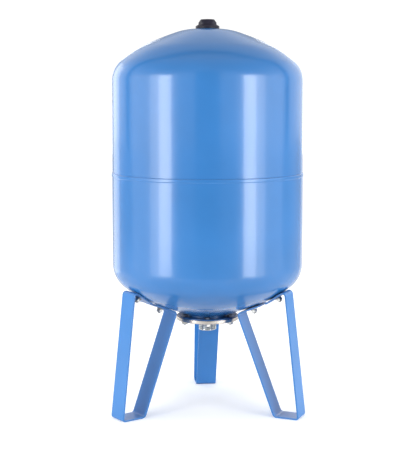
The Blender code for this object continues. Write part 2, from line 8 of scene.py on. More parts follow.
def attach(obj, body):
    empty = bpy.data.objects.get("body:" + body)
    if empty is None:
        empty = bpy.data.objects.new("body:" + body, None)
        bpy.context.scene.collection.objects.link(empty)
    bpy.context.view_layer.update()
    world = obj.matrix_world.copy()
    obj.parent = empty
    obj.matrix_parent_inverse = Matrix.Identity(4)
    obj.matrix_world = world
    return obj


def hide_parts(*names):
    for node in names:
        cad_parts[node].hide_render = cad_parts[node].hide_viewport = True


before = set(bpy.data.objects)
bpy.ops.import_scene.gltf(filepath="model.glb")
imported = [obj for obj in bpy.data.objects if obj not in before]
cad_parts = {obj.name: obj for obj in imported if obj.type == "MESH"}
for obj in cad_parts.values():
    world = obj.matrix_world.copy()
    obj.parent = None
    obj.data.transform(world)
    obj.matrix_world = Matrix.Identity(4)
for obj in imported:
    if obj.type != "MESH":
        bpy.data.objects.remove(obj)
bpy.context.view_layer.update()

# Camera: a short telephoto lens in front of the tank, a little below its top, looking
# slightly down. The small lens shift keeps the tank's sides as upright as a studio camera
# would show them.
AXIS_Y = -0.012
CAMERA_DISTANCE = 2.6509
CAMERA_HEIGHT = 0.7537
CAMERA_TILT = 5.732
camera_data = bpy.data.cameras.new("camera")
camera_data.lens = 87.86
camera_data.sensor_width = 36.0
camera_data.shift_y = -0.0556
camera_data.clip_end = 50.0
camera = bpy.data.objects.new("camera", camera_data)
camera.location = (0.0, AXIS_Y - CAMERA_DISTANCE, CAMERA_HEIGHT)
camera.rotation_euler = (math.radians(90.0 - CAMERA_TILT), 0.0, 0.0)
bpy.context.scene.collection.objects.link(camera)
bpy.context.scene.camera = camera

# Studio floor: a wide flat sheet of white paper, which the lens sees brighter far from the
# tank. It takes the soft contact shadows of the feet and lights the underside of the tank.
FLOOR_REACH = 12.0
floor_bm = bmesh.new()
bmesh.ops.create_grid(floor_bm, x_segments=2, y_segments=2, size=FLOOR_REACH)
floor_mesh = bpy.data.meshes.new("floor")
floor_bm.to_mesh(floor_mesh)
floor_bm.free()
floor_paper = bpy.data.materials.new("floor_paper")
floor_paper.use_nodes = True
paper_nodes = floor_paper.node_tree.nodes
paper_links = floor_paper.node_tree.links
paper = paper_nodes["Principled BSDF"]
paper.inputs["Base Color"].default_value = (0.82, 0.82, 0.83, 1)
paper.inputs["Roughness"].default_value = 0.9
paper.inputs["Specular IOR Level"].default_value = 0.0
paper.inputs["Emission Color"].default_value = (1, 1, 1, 1)
paper_rays = paper_nodes.new("ShaderNodeLightPath")
paper_shine = paper_nodes.new("ShaderNodeMath")
paper_shine.operation = "MULTIPLY"
paper_shine.inputs[1].default_value = 0.05
paper_seen = paper_nodes.new("ShaderNodeMath")
paper_seen.operation = "MULTIPLY_ADD"
paper_where = paper_nodes.new("ShaderNodeTexCoord")
paper_away = paper_nodes.new("ShaderNodeVectorMath")
paper_away.operation = "LENGTH"
paper_far = paper_nodes.new("ShaderNodeMapRange")
paper_far.inputs["From Min"].default_value = 0.5
paper_far.inputs["From Max"].default_value = 3.0
paper_far.inputs["To Min"].default_value = 0.28
paper_far.inputs["To Max"].default_value = 0.60
paper_links.new(paper_where.outputs["Object"], paper_away.inputs[0])
paper_links.new(paper_away.outputs["Value"], paper_far.inputs["Value"])
paper_links.new(paper_far.outputs["Result"], paper_seen.inputs[1])
paper_links.new(paper_rays.outputs["Is Glossy Ray"], paper_shine.inputs[0])
paper_links.new(paper_rays.outputs["Is Camera Ray"], paper_seen.inputs[0])
paper_links.new(paper_shine.outputs[0], paper_seen.inputs[2])
paper_links.new(paper_seen.outputs[0], paper.inputs["Emission Strength"])
floor_mesh.materials.append(floor_paper)
floor = bpy.data.objects.new("floor", floor_mesh)
bpy.context.scene.collection.objects.link(floor)

# Room: a white surround, dimmer overhead, far behind and in a narrow band on each side. The
# lens sees it pure white, and paint and bare metal mirror its lighter and darker parts.
# A band is how far back it stands, from 0 in front to 1 behind, and how bright it is.
ROOM_BANDS = ((0.62, 1.0), (0.645, 0.05), (0.685, 0.05), (0.71, 1.0), (0.93, 1.0), (0.97, 0.35))
world = bpy.data.worlds.new("room")
world.use_nodes = True
bpy.context.scene.world = world
room_nodes = world.node_tree.nodes
room_links = world.node_tree.links
room_nodes.clear()
room_out = room_nodes.new("ShaderNodeOutputWorld")
room_rays = room_nodes.new("ShaderNodeLightPath")
room_where = room_nodes.new("ShaderNodeTexCoord")
room_axes = room_nodes.new("ShaderNodeSeparateXYZ")
room_depth = room_nodes.new("ShaderNodeMapRange")
room_depth.inputs["From Min"].default_value = -1.0
room_depth.inputs["From Max"].default_value = 1.0
room_walls = room_nodes.new("ShaderNodeValToRGB")
room_walls.color_ramp.elements[0].position = 0.0
room_walls.color_ramp.elements[0].color = (1, 1, 1, 1)
room_walls.color_ramp.elements[1].position = 1.0
room_walls.color_ramp.elements[1].color = (0.35, 0.35, 0.35, 1)
for position, level in ROOM_BANDS:
    room_walls.color_ramp.elements.new(position).color = (level, level, level, 1)
room_fade = room_nodes.new("ShaderNodeMapRange")
room_fade.inputs["From Min"].default_value = 0.36
room_fade.inputs["From Max"].default_value = 0.70
room_fade.inputs["To Min"].default_value = 1.3
room_fade.inputs["To Max"].default_value = 0.62
room_light = room_nodes.new("ShaderNodeBackground")
room_light.inputs["Color"].default_value = (0.95, 0.97, 1.0, 1)
room_light.inputs["Strength"].default_value = 0.57
room_shiny = room_nodes.new("ShaderNodeBackground")
room_white = room_nodes.new("ShaderNodeBackground")
room_white.inputs["Color"].default_value = (1, 1, 1, 1)
room_white.inputs["Strength"].default_value = 1.05
room_glossy = room_nodes.new("ShaderNodeMixShader")
room_camera = room_nodes.new("ShaderNodeMixShader")
room_links.new(room_where.outputs["Generated"], room_axes.inputs[0])
room_links.new(room_axes.outputs["Y"], room_depth.inputs["Value"])
room_links.new(room_depth.outputs["Result"], room_walls.inputs["Fac"])
room_links.new(room_walls.outputs["Color"], room_shiny.inputs["Color"])
room_links.new(room_axes.outputs["Z"], room_fade.inputs["Value"])
room_links.new(room_fade.outputs["Result"], room_shiny.inputs["Strength"])
room_links.new(room_rays.outputs["Is Glossy Ray"], room_glossy.inputs[0])
room_links.new(room_light.outputs[0], room_glossy.inputs[1])
room_links.new(room_shiny.outputs[0], room_glossy.inputs[2])
room_links.new(room_rays.outputs["Is Camera Ray"], room_camera.inputs[0])
room_links.new(room_glossy.outputs[0], room_camera.inputs[1])
room_links.new(room_white.outputs[0], room_camera.inputs[2])
room_links.new(room_camera.outputs[0], room_out.inputs["Surface"])
bpy.context.scene.view_settings.view_transform = "Standard"

# Lights: on each side a tall soft box with a weaker wing outside it, then a wide pale panel,
# a narrower one behind and a soft box at the back. Their upright strips shine in the wall.
# Two low fills and a broad sheet overhead only brighten it.
FILL_SIZE = 2.0
FILL_GLOW = 1.6
OVERHEAD_SIZE = 3.0
OVERHEAD_GLOW = 1.2
# A panel's angle from the front in degrees, distance, width, height, middle's height and glow.
PANELS = (
    ("soft_box_left", -48.0, 1.95, 0.52, 1.34, 0.70, 8.6),
    ("soft_box_right", 48.0, 1.95, 0.52, 1.34, 0.70, 8.6),
    ("soft_wing_left", -61.5, 1.95, 0.42, 1.34, 0.70, 3.0),
    ("soft_wing_right", 61.5, 1.95, 0.42, 1.34, 0.70, 3.0),
    ("side_panel_left", -82.0, 2.2, 1.1, 1.34, 0.70, 0.7),
    ("side_panel_right", 82.0, 2.2, 1.1, 1.34, 0.70, 0.7),
    ("back_panel_left", -134.0, 1.3, 0.52, 1.24, 0.64, 1.25),
    ("back_panel_right", 149.0, 1.3, 0.24, 1.24, 0.64, 0.55),
    ("rear_box_left", -165.0, 1.95, 0.34, 0.90, 0.95, 2.2),
    ("rear_box_right", 164.0, 1.95, 0.40, 0.90, 0.95, 2.4),
)
for name, azimuth, distance, width, height, middle, glow in PANELS:
    lamp = bpy.data.lights.new(name, "AREA")
    lamp.shape = "RECTANGLE"
    lamp.size = width
    lamp.size_y = height
    lamp.energy = glow * math.pi * width * height
    angle = math.radians(azimuth)
    panel = bpy.data.objects.new(name, lamp)
    panel.location = (distance * math.sin(angle), AXIS_Y - distance * math.cos(angle), middle)
    toward = Vector((0, AXIS_Y, middle)) - panel.location
    panel.rotation_euler = toward.to_track_quat("-Z", "Y").to_euler()
    panel.visible_camera = False
    bpy.context.scene.collection.objects.link(panel)
for side, tag in ((-1, "left"), (1, "right")):
    lamp = bpy.data.lights.new(f"low_fill_{tag}", "AREA")
    lamp.size = FILL_SIZE
    lamp.energy = FILL_GLOW * math.pi * FILL_SIZE**2
    fill = bpy.data.objects.new(f"low_fill_{tag}", lamp)
    fill.location = (2.4 * side, AXIS_Y - 0.6, 0.45)
    toward = Vector((0, AXIS_Y, 0.35)) - fill.location
    fill.rotation_euler = toward.to_track_quat("-Z", "Y").to_euler()
    fill.visible_camera = False
    fill.visible_glossy = False
    bpy.context.scene.collection.objects.link(fill)
overhead_lamp = bpy.data.lights.new("overhead", "AREA")
overhead_lamp.size = OVERHEAD_SIZE
overhead_lamp.energy = OVERHEAD_GLOW * math.pi * OVERHEAD_SIZE**2
overhead = bpy.data.objects.new("overhead", overhead_lamp)
overhead.location = (0, 0.6, 3.0)
overhead.visible_camera = False
overhead.visible_glossy = False
bpy.context.scene.collection.objects.link(overhead)

# Dark gap behind the camera: the unlit part of the room, seen as the deeper blue band down
# the middle of the tank.
DARK_WIDTH = 1.5
DARK_HEIGHT = 3.2
gap_bm = bmesh.new()
bmesh.ops.create_grid(gap_bm, x_segments=2, y_segments=2, size=0.5)
gap_bm.transform(Matrix.Diagonal((DARK_WIDTH, DARK_HEIGHT, 1.0, 1.0)))
gap_mesh = bpy.data.meshes.new("dark_gap")
gap_bm.to_mesh(gap_mesh)
gap_bm.free()
gap_cloth = bpy.data.materials.new("dark_cloth")
gap_cloth.use_nodes = True
cloth = gap_cloth.node_tree.nodes["Principled BSDF"]
cloth.inputs["Base Color"].default_value = (0.35, 0.35, 0.35, 1)
cloth.inputs["Roughness"].default_value = 1.0
gap_mesh.materials.append(gap_cloth)
dark_gap = bpy.data.objects.new("dark_gap", gap_mesh)
dark_gap.location = (0, AXIS_Y - 3.0, 1.2)
dark_gap.rotation_euler = (math.radians(90), 0, 0)
dark_gap.visible_camera = False
dark_gap.visible_diffuse = False
dark_gap.visible_shadow = False
bpy.context.scene.collection.objects.link(dark_gap)

# Upper shell: the drawn steel dome and wall that form the top half of the tank, 1.5 mm
# thick, with a hole for the air valve. Its skirt goes down inside the lower shell's lip.
UPPER_RADIUS = 0.2243
SHELL_WALL = 0.0015
UPPER_FLAT = 0.8995
SEAM = 0.5623
VALVE_HOLE = 0.005
SKIRT = 0.006
STRAIGHT = 0.002
DOME_FLAT = 0.026
BLEND = 0.150
BLEND_END = math.radians(19.0)
CROWN_END = math.radians(24.4)
SHOULDER = 0.207
SHOULDER_END = math.radians(42.0)
KNUCKLE = 0.0645
TANK_STEPS = 160


def dome(radius, depth, hole, counts):
    """Points (distance, height) of the pressed dome from its centre hole to the wall, at a
    depth under its outer face. Counts are the steps in each of its four arcs."""
    knuckle_r = radius - KNUCKLE * (1 - math.sin(SHOULDER_END))
    shoulder_r = knuckle_r - SHOULDER * (math.sin(SHOULDER_END) - math.sin(CROWN_END))
    blend_r = DOME_FLAT + BLEND * math.sin(BLEND_END)
    crown = (shoulder_r - blend_r) / (math.sin(CROWN_END) - math.sin(BLEND_END))
    spans = (
        (BLEND, 0.0, BLEND_END),
        (crown, BLEND_END, CROWN_END),
        (SHOULDER, CROWN_END, SHOULDER_END),
        (KNUCKLE, SHOULDER_END, math.pi / 2),
    )
    r, h = DOME_FLAT, depth
    points = [(0.0, depth), (r, h)]
    for (bend, start, end), count in zip(spans, counts):
        for k in range(1, count + 1):
            a = start + (end - start) * k / count
            x = r + (bend - depth) * (math.sin(a) - math.sin(start))
            z = h + (bend - depth) * (math.cos(start) - math.cos(a))
            points.append((x, z))
        r, h = points[-1]
    outside = [point for point in points if point[0] > hole]
    near = points[len(points) - len(outside) - 1]
    share = (hole - near[0]) / (outside[0][0] - near[0])
    return [(hole, near[1] + share * (outside[0][1] - near[1]))] + outside


def turned(name, levels, steps, closed=True):
    """A round mesh through levels, each (distance, height) or a function of the angle that
    gives them. A closed one joins its last level to its first, an open one is capped."""
    bm = bmesh.new()
    rings = []
    for level in levels:
        ring = []
        for k in range(steps):
            angle = 2 * math.pi * k / steps
            r, z = level(angle) if callable(level) else level
            ring.append(bm.verts.new((r * math.cos(angle), r * math.sin(angle), z)))
        rings.append(ring)
    pairs = list(zip(rings, rings[1:]))
    if closed:
        pairs.append((rings[-1], rings[0]))
    else:
        bm.faces.new(rings[0])
        bm.faces.new(rings[-1])
    for low, high in pairs:
        for k in range(steps):
            n = (k + 1) % steps
            bm.faces.new((low[k], low[n], high[n], high[k]))
    return smooth_mesh(bm, name)


def smooth_mesh(bm, name):
    """A mesh with outward faces, smooth where it is round and crisp at its edges."""
    bmesh.ops.recalc_face_normals(bm, faces=bm.faces)
    mesh = bpy.data.meshes.new(name)
    bm.to_mesh(mesh)
    bm.free()
    mesh.shade_smooth()
    mesh.set_sharp_from_angle(angle=math.radians(35))
    return mesh


def place(name, mesh, material, body, spot=Matrix()):
    """Put a mesh on the tank's axis, moved by spot, as a piece that rides on a body."""
    piece = bpy.data.objects.new(name, mesh)
    if not mesh.materials:
        mesh.materials.append(material)
    piece.matrix_world = Matrix.Translation((0, AXIS_Y, 0)) @ spot
    level = piece.modifiers.new("flat_faces_stay_flat", "WEIGHTED_NORMAL")
    level.keep_sharp = True
    bpy.context.scene.collection.objects.link(piece)
    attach(piece, body)
    return piece


def surface(name, colour, roughness, metallic, patch_scale, spread, grain_scale, grain):
    """A material with slow patches of tone and roughness over a fine bumpy grain."""
    material = bpy.data.materials.new(name)
    material.use_nodes = True
    nodes = material.node_tree.nodes
    links = material.node_tree.links
    shader = nodes["Principled BSDF"]
    shader.inputs["Metallic"].default_value = metallic
    where = nodes.new("ShaderNodeTexCoord")
    slow = nodes.new("ShaderNodeTexNoise")
    slow.inputs["Scale"].default_value = patch_scale
    slow.inputs["Detail"].default_value = 3.0
    fine = nodes.new("ShaderNodeTexNoise")
    fine.inputs["Scale"].default_value = grain_scale
    fine.inputs["Detail"].default_value = 2.0
    tone = nodes.new("ShaderNodeValToRGB")
    tone.name = "tone"
    tone.color_ramp.elements[0].position = 0.35
    tone.color_ramp.elements[0].color = (*[(1 - spread) * c for c in colour], 1)
    tone.color_ramp.elements[1].position = 0.65
    tone.color_ramp.elements[1].color = (*[min(1, (1 + spread) * c) for c in colour], 1)
    rough = nodes.new("ShaderNodeMapRange")
    rough.inputs["To Min"].default_value = roughness * 0.8
    rough.inputs["To Max"].default_value = roughness * 1.2
    bump = nodes.new("ShaderNodeBump")
    bump.name = "grain"
    bump.inputs["Strength"].default_value = grain
    bump.inputs["Distance"].default_value = 0.0002
    links.new(where.outputs["Object"], slow.inputs["Vector"])
    links.new(where.outputs["Object"], fine.inputs["Vector"])
    links.new(slow.outputs["Fac"], tone.inputs["Fac"])
    links.new(tone.outputs["Color"], shader.inputs["Base Color"])
    links.new(slow.outputs["Fac"], rough.inputs["Value"])
    links.new(rough.outputs["Result"], shader.inputs["Roughness"])
    links.new(fine.outputs["Fac"], bump.inputs["Height"])
    links.new(bump.outputs["Normal"], shader.inputs["Normal"])
    return material


def paint(name, colour, roughness, peel, sway=0.0, gloss=0.3):
    """Sprayed and baked enamel: a clear gloss over faint orange peel, with a few dust specks.
    Sway is the depth of the pressed sheet's slow waviness, which bends its highlights."""
    material = surface(
        name,
        colour,
        roughness,
        metallic=0.0,
        patch_scale=5.0,
        spread=0.05,
        grain_scale=330.0,
        grain=peel,
    )
    nodes = material.node_tree.nodes
    links = material.node_tree.links
    shader = nodes["Principled BSDF"]
    shader.inputs["Coat Weight"].default_value = gloss
    shader.inputs["Coat Roughness"].default_value = 0.07
    where = nodes.new("ShaderNodeTexCoord")
    dust = nodes.new("ShaderNodeTexVoronoi")
    dust.inputs["Scale"].default_value = 90.0
    fleck = nodes.new("ShaderNodeMath")
    fleck.operation = "LESS_THAN"
    fleck.inputs[1].default_value = 0.045
    soften = nodes.new("ShaderNodeMath")
    soften.operation = "MULTIPLY"
    soften.inputs[1].default_value = 0.2
    tinted = nodes.new("ShaderNodeMix")
    tinted.data_type = "RGBA"
    tinted.inputs["B"].default_value = (*[min(1, 1.5 * c + 0.02) for c in colour], 1)
    if sway:
        sheet = nodes.new("ShaderNodeTexNoise")
        sheet.inputs["Scale"].default_value = 5.0
        sheet.inputs["Detail"].default_value = 1.0
        swell = nodes.new("ShaderNodeBump")
        swell.inputs["Distance"].default_value = sway
        links.new(where.outputs["Object"], sheet.inputs["Vector"])
        links.new(sheet.outputs["Fac"], swell.inputs["Height"])
        links.new(swell.outputs["Normal"], nodes["grain"].inputs["Normal"])
    links.new(where.outputs["Object"], dust.inputs["Vector"])
    links.new(dust.outputs["Distance"], fleck.inputs[0])
    links.new(fleck.outputs[0], soften.inputs[0])
    links.new(soften.outputs[0], tinted.inputs["Factor"])
    links.new(nodes["tone"].outputs["Color"], tinted.inputs["A"])
    links.new(tinted.outputs["Result"], shader.inputs["Base Color"])
    return material


outer = dome(UPPER_RADIUS, depth=0.0, hole=VALVE_HOLE, counts=(8, 6, 10, 18))
inner = dome(UPPER_RADIUS, depth=SHELL_WALL, hole=VALVE_HOLE, counts=(4, 3, 4, 8))
profile = [(r, UPPER_FLAT - h) for r, h in outer]
profile += [(UPPER_RADIUS, profile[-1][1] - STRAIGHT), (UPPER_RADIUS, SEAM - SKIRT)]
profile += [(UPPER_RADIUS - SHELL_WALL, SEAM - SKIRT)]
profile += [(r, UPPER_FLAT - h) for r, h in reversed(inner)]
upper_blue = (0.024, 0.148, 0.397)
upper_coat = paint("upper_shell_coat", upper_blue, roughness=0.24, peel=0.05, sway=0.0018)
upper_mesh = turned("upper_shell", profile, TANK_STEPS)
upper_shell = place("upper_shell_pressing", upper_mesh, upper_coat, "tank")
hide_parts("upper_shell")

# Lower shell: the same steel pressing turned over, with a wide hole for the neck. Its rim
# is opened out by a step into a lip that laps round the upper shell.
TANK_RADIUS = 0.225
LOWER_FLAT = 0.2255
GAP = 0.0003
NECK_RADIUS = 0.050
LIP_OUT = 0.2261
LIP_IN = 0.2246
LIP_FOOT = SEAM - 0.0067
outer = dome(TANK_RADIUS, depth=0.0, hole=NECK_RADIUS + GAP, counts=(10, 6, 10, 18))
inner = dome(TANK_RADIUS, depth=SHELL_WALL, hole=NECK_RADIUS + GAP, counts=(6, 3, 4, 8))
profile = [(r, LOWER_FLAT + h) for r, h in outer]
profile += [(TANK_RADIUS, profile[-1][1] + STRAIGHT), (TANK_RADIUS, LIP_FOOT - 0.0024)]
profile += [(TANK_RADIUS, LIP_FOOT - 0.0012), (TANK_RADIUS + 0.0002, LIP_FOOT - 0.0006)]
profile += [(LIP_OUT - 0.0003, LIP_FOOT), (LIP_OUT, LIP_FOOT + 0.0005)]
profile += [(LIP_OUT, SEAM - 0.0007), (LIP_OUT - 0.0002, SEAM - 0.0002), (LIP_OUT - 0.0007, SEAM)]
profile += [(LIP_IN, SEAM), (LIP_IN, LIP_FOOT), (TANK_RADIUS - SHELL_WALL, LIP_FOOT - 0.0022)]
profile += [(r, LOWER_FLAT + h) for r, h in reversed(inner)]
lower_blue = (0.024, 0.150, 0.400)
lower_coat = paint("lower_shell_coat", lower_blue, roughness=0.24, peel=0.05, sway=0.003)
lower_mesh = turned("lower_shell", profile, TANK_STEPS)
lower_shell = place("lower_shell_pressing", lower_mesh, lower_coat, "tank")
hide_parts("lower_shell")

# Seam weld: the thin fillet that closes the lap round the tank's waist. It is laid in fine
# ripples, and is painted over with the shells in a slightly darker blue, which is painted
# shade in the seam's crease.
BEAD_SIDES = 8
STEPS_A_RIPPLE = 4


def bead(name, distance, height, wide, high, pitch):
    """A ring of weld metal with a ripple at every pitch and a slow unevenness."""
    ripples = round(2 * math.pi * distance / pitch)
    steps = STEPS_A_RIPPLE * ripples
    bm = bmesh.new()
    rings = []
    for k in range(steps):
        a = 2 * math.pi * k / steps
        uneven = 0.05 * math.sin(11 * a) + 0.04 * math.sin(29 * a + 1)
        swell = 1.0 + 0.07 * math.sin(ripples * a) + uneven
        ring = []
        for j in range(BEAD_SIDES):
            b = 2 * math.pi * j / BEAD_SIDES
            r = distance + wide * swell * math.cos(b)
            z = height + high * swell * math.sin(b)
            ring.append(bm.verts.new((r * math.cos(a), r * math.sin(a), z)))
        rings.append(ring)
    for near, far in zip(rings, rings[1:] + rings[:1]):
        for j in range(BEAD_SIDES):
            n = (j + 1) % BEAD_SIDES
            bm.faces.new((near[j], near[n], far[n], far[j]))
    return smooth_mesh(bm, name)


# Painted shade: the bead's blue is a little darker than the shells' for the shade in the crease.
weld_coat_painted_shade = paint("weld_coat_painted_shade", (0.024, 0.14, 0.38), roughness=0.33, peel=0.1)
seam_bead = bead(
    "seam_weld",
    distance=0.2248,
    height=SEAM + 0.0002,
    wide=0.0011,
    high=0.0012,
    pitch=0.0026,
)
seam_weld = place("seam_weld", seam_bead, weld_coat_painted_shade, "tank")

# Neck: a short steel tube through the lower dome with a flat bolting ring at its foot, which
# is drilled for six bolts and painted blue. Its blue is darker than the shells' as painted
# shade, standing for the shade under the dome.
RING_RADIUS = 0.0715
RING_TOP = 0.2222
RING_BOTTOM = 0.2172
NECK_TOP = 0.2395
NECK_BORE = 0.046
BOLT_CIRCLE = 0.0622
HOLE_RADIUS = 0.0045
BOLT_COUNT = 6
ARC_STEPS = 5
RING_STEPS = 144


def softened(corners, bends, closed=False):
    """The outline with its corners turned into arcs, whose radii are the bends."""
    corners = [Vector(corner) for corner in corners]
    points = [] if closed else [corners[0]]
    spots = range(len(corners)) if closed else range(1, len(corners) - 1)
    for spot, bend in zip(spots, bends):
        corner = corners[spot]
        a = (corners[spot - 1] - corner).normalized()
        b = (corners[(spot + 1) % len(corners)] - corner).normalized()
        half = a.angle(b) / 2
        start = corner + a * bend / math.tan(half)
        end = corner + b * bend / math.tan(half)
        centre = corner + (a + b).normalized() * bend / math.sin(half)
        sweep = -(start - centre).angle_signed(end - centre)
        for k in range(ARC_STEPS + 1):
            points.append(centre + Matrix.Rotation(sweep * k / ARC_STEPS, 2) @ (start - centre))
    if not closed:
        points.append(corners[-1])
    return points


def drilled(mesh, spots, depth):
    """The mesh with round screw holes cut through it at the spots."""
    bm = bmesh.new()
    for spot in spots:
        bmesh.ops.create_cone(
            bm,
            cap_ends=True,
            segments=32,
            radius1=HOLE_RADIUS,
            radius2=HOLE_RADIUS,
            depth=depth,
            matrix=spot,
        )
    cutter = bpy.data.objects.new("drill", smooth_mesh(bm, "drill"))
    blank = bpy.data.objects.new("blank", mesh)
    bpy.context.scene.collection.objects.link(cutter)
    bpy.context.scene.collection.objects.link(blank)
    cut = blank.modifiers.new("holes", "BOOLEAN")
    cut.operation = "DIFFERENCE"
    cut.solver = "EXACT"
    cut.object = cutter
    bpy.context.view_layer.update()
    graph = bpy.context.evaluated_depsgraph_get()
    result = bpy.data.meshes.new_from_object(blank.evaluated_get(graph))
    bpy.data.objects.remove(cutter)
    bpy.data.objects.remove(blank)
    result.name = mesh.name + "_drilled"
    return result


bolt_spots = []
for number in range(BOLT_COUNT):
    angle = -math.pi / 2 + number * math.pi / 3
    spot = (BOLT_CIRCLE * math.cos(angle), BOLT_CIRCLE * math.sin(angle), 0)
    bolt_spots.append(Matrix.Translation(spot))
corners = [
    (NECK_BORE, RING_BOTTOM),
    (RING_RADIUS, RING_BOTTOM),
    (RING_RADIUS, RING_TOP),
    (NECK_RADIUS, RING_TOP),
    (NECK_RADIUS, NECK_TOP),
    (NECK_BORE, NECK_TOP),
]
bends = (0.0004, 0.0007, 0.0007, 0.0006, 0.0004, 0.0004)
outline = softened(corners, bends, closed=True)
ring_middle = Matrix.Translation((0, 0, (RING_TOP + RING_BOTTOM) / 2))
ring_holes = [ring_middle @ spot for spot in bolt_spots]
neck_mesh = drilled(turned("neck", outline, RING_STEPS), ring_holes, depth=0.015)
# Painted shade: the neck's blue is darker than the shells' for the shade under the dome.
neck_coat_painted_shade = paint("neck_coat_painted_shade", (0.018, 0.10, 0.29), roughness=0.38, peel=0.1)
neck = place("neck_and_ring", neck_mesh, neck_coat_painted_shade, "tank")
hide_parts("neck_flange")

# Neck weld: the bead of weld metal that joins the neck's tube to the lower dome all round,
# painted over with the neck in the same darker blue of painted shade.
neck_bead = bead(
    "neck_weld",
    distance=NECK_RADIUS + 0.0012,
    height=0.2271,
    wide=0.0019,
    high=0.0019,
    pitch=0.003,
)
neck_weld = place("neck_weld", neck_bead, neck_coat_painted_shade, "tank")

# Bladder: the black rubber bag inside the tank, whose lip shows as a thin dark line between
# the two flanges.
rubber = surface(
    "bladder_rubber",
    (0.022, 0.022, 0.023),
    roughness=0.62,
    metallic=0.0,
    patch_scale=14.0,
    spread=0.2,
    grain_scale=700.0,
    grain=0.2,
)
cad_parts["bladder"].material_slots[0].material = rubber

# Counter flange: a pan pressed from zinc-plated steel, with an upturned rim round the
# bolting ring and a dished middle that takes the nipple.
PAN_TOP = 0.2146
PAN_BOTTOM = 0.2116
PAN_RADIUS = 0.0748
PAN_INSIDE = 0.0718
PAN_RIM = 0.2201
DISH_RADIUS = 0.0360
DISH_TOP_RADIUS = DISH_RADIUS + 0.005
DISH_DEPTH = 0.003
NIPPLE_RADIUS = 0.02095


def zinc(name, colour, roughness, grain):
    """Zinc plating: metal with small faint spangles of a darker tone."""
    material = surface(
        name,
        colour,
        roughness,
        metallic=1.0,
        patch_scale=22.0,
        spread=0.07,
        grain_scale=900.0,
        grain=grain,
    )
    nodes = material.node_tree.nodes
    links = material.node_tree.links
    where = nodes.new("ShaderNodeTexCoord")
    cells = nodes.new("ShaderNodeTexVoronoi")
    cells.inputs["Scale"].default_value = 140.0
    grey = nodes.new("ShaderNodeSeparateColor")
    spread = nodes.new("ShaderNodeMapRange")
    spread.inputs["To Min"].default_value = 0.0
    spread.inputs["To Max"].default_value = 0.3
    tinted = nodes.new("ShaderNodeMix")
    tinted.data_type = "RGBA"
    tinted.inputs["B"].default_value = (*[0.8 * c for c in colour], 1)
    links.new(where.outputs["Object"], cells.inputs["Vector"])
    links.new(cells.outputs["Color"], grey.inputs["Color"])
    links.new(grey.outputs["Red"], spread.inputs["Value"])
    links.new(spread.outputs["Result"], tinted.inputs["Factor"])
    links.new(nodes["tone"].outputs["Color"], tinted.inputs["A"])
    links.new(tinted.outputs["Result"], nodes["Principled BSDF"].inputs["Base Color"])
    return material


corners = [
    (NIPPLE_RADIUS + GAP, PAN_TOP - DISH_DEPTH),
    (NIPPLE_RADIUS + GAP, PAN_BOTTOM - DISH_DEPTH),
    (DISH_RADIUS, PAN_BOTTOM - DISH_DEPTH),
    (DISH_TOP_RADIUS, PAN_BOTTOM),
    (PAN_RADIUS, PAN_BOTTOM),
    (PAN_RADIUS, PAN_RIM),
    (PAN_INSIDE, PAN_RIM),
    (PAN_INSIDE, PAN_TOP),
    (DISH_TOP_RADIUS, PAN_TOP),
    (DISH_RADIUS, PAN_TOP - DISH_DEPTH),
]
bends = (0.0003, 0.0003, 0.003, 0.003, 0.0016, 0.0012, 0.0006, 0.0003, 0.003, 0.003)
outline = softened(corners, bends, closed=True)
pan_blank = turned("pan", outline, RING_STEPS)
pan_middle = Matrix.Translation((0, 0, (PAN_TOP + PAN_BOTTOM) / 2))
pan_holes = [pan_middle @ spot for spot in bolt_spots]
pan_mesh = drilled(pan_blank, pan_holes, depth=0.006)
pan_zinc = zinc("pan_zinc", (0.56, 0.51, 0.46), roughness=0.26, grain=0.12)
pan = place("counter_flange_pan", pan_mesh, pan_zinc, "tank")
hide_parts("counter_flange")

# Nipple: the zinc-plated pipe end of 1 1/4 inch in the middle of the pan, with an outside
# thread of 11 turns to the inch.
NIPPLE_TOP = PAN_TOP - DISH_DEPTH
NIPPLE_END = 0.1854
NIPPLE_BORE = 0.0165
NIPPLE_NECK = 0.0062
PIPE_PITCH = 0.00231
PIPE_DEPTH = 0.00135
PIPE_STEPS = 96
ROWS_A_TURN = 8
FLANK = 1.25
CREST = 0.12


def thread(radius, pitch, depth, low, high):
    """Levels of a screw thread between two heights, running out at both ends."""
    rows = round((high - low) / pitch * ROWS_A_TURN)

    def row(z):
        def level(angle):
            turns = (z / pitch - angle / (2 * math.pi)) % 1.0
            notch = min(1.0, max(0.0, FLANK * abs(2 * turns - 1) - CREST))
            fade = min(1.0, (z - low) / pitch, (high - z) / pitch)
            return radius - depth * fade * notch, z

        return level

    return [row(low + (high - low) * k / rows) for k in range(rows + 1)]


profile = [(NIPPLE_BORE, NIPPLE_TOP), (NIPPLE_BORE, NIPPLE_END + 0.0006)]
profile += [(NIPPLE_BORE + 0.0006, NIPPLE_END), (NIPPLE_RADIUS - 0.0018, NIPPLE_END)]
profile += [(NIPPLE_RADIUS - 0.0003, NIPPLE_END + 0.0015)]
low, high = NIPPLE_END + 0.0018, NIPPLE_TOP - NIPPLE_NECK
profile += thread(NIPPLE_RADIUS, PIPE_PITCH, PIPE_DEPTH, low, high)
profile += [(NIPPLE_RADIUS, NIPPLE_TOP)]
nipple_zinc = zinc("nipple_zinc", (0.58, 0.61, 0.62), roughness=0.24, grain=0.1)
nipple_mesh = turned("nipple", profile, PIPE_STEPS)
nipple = place("threaded_nipple", nipple_mesh, nipple_zinc, "tank")
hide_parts("nipple")

# Nipple weld: the small bead of weld metal that fixes the nipple in the pan from below,
# zinc-plated with it.
nipple_bead = bead(
    "nipple_weld",
    distance=0.0214,
    height=0.2084,
    wide=0.0016,
    high=0.0013,
    pitch=0.0025,
)
nipple_weld = place("nipple_weld", nipple_bead, pan_zinc, "tank")
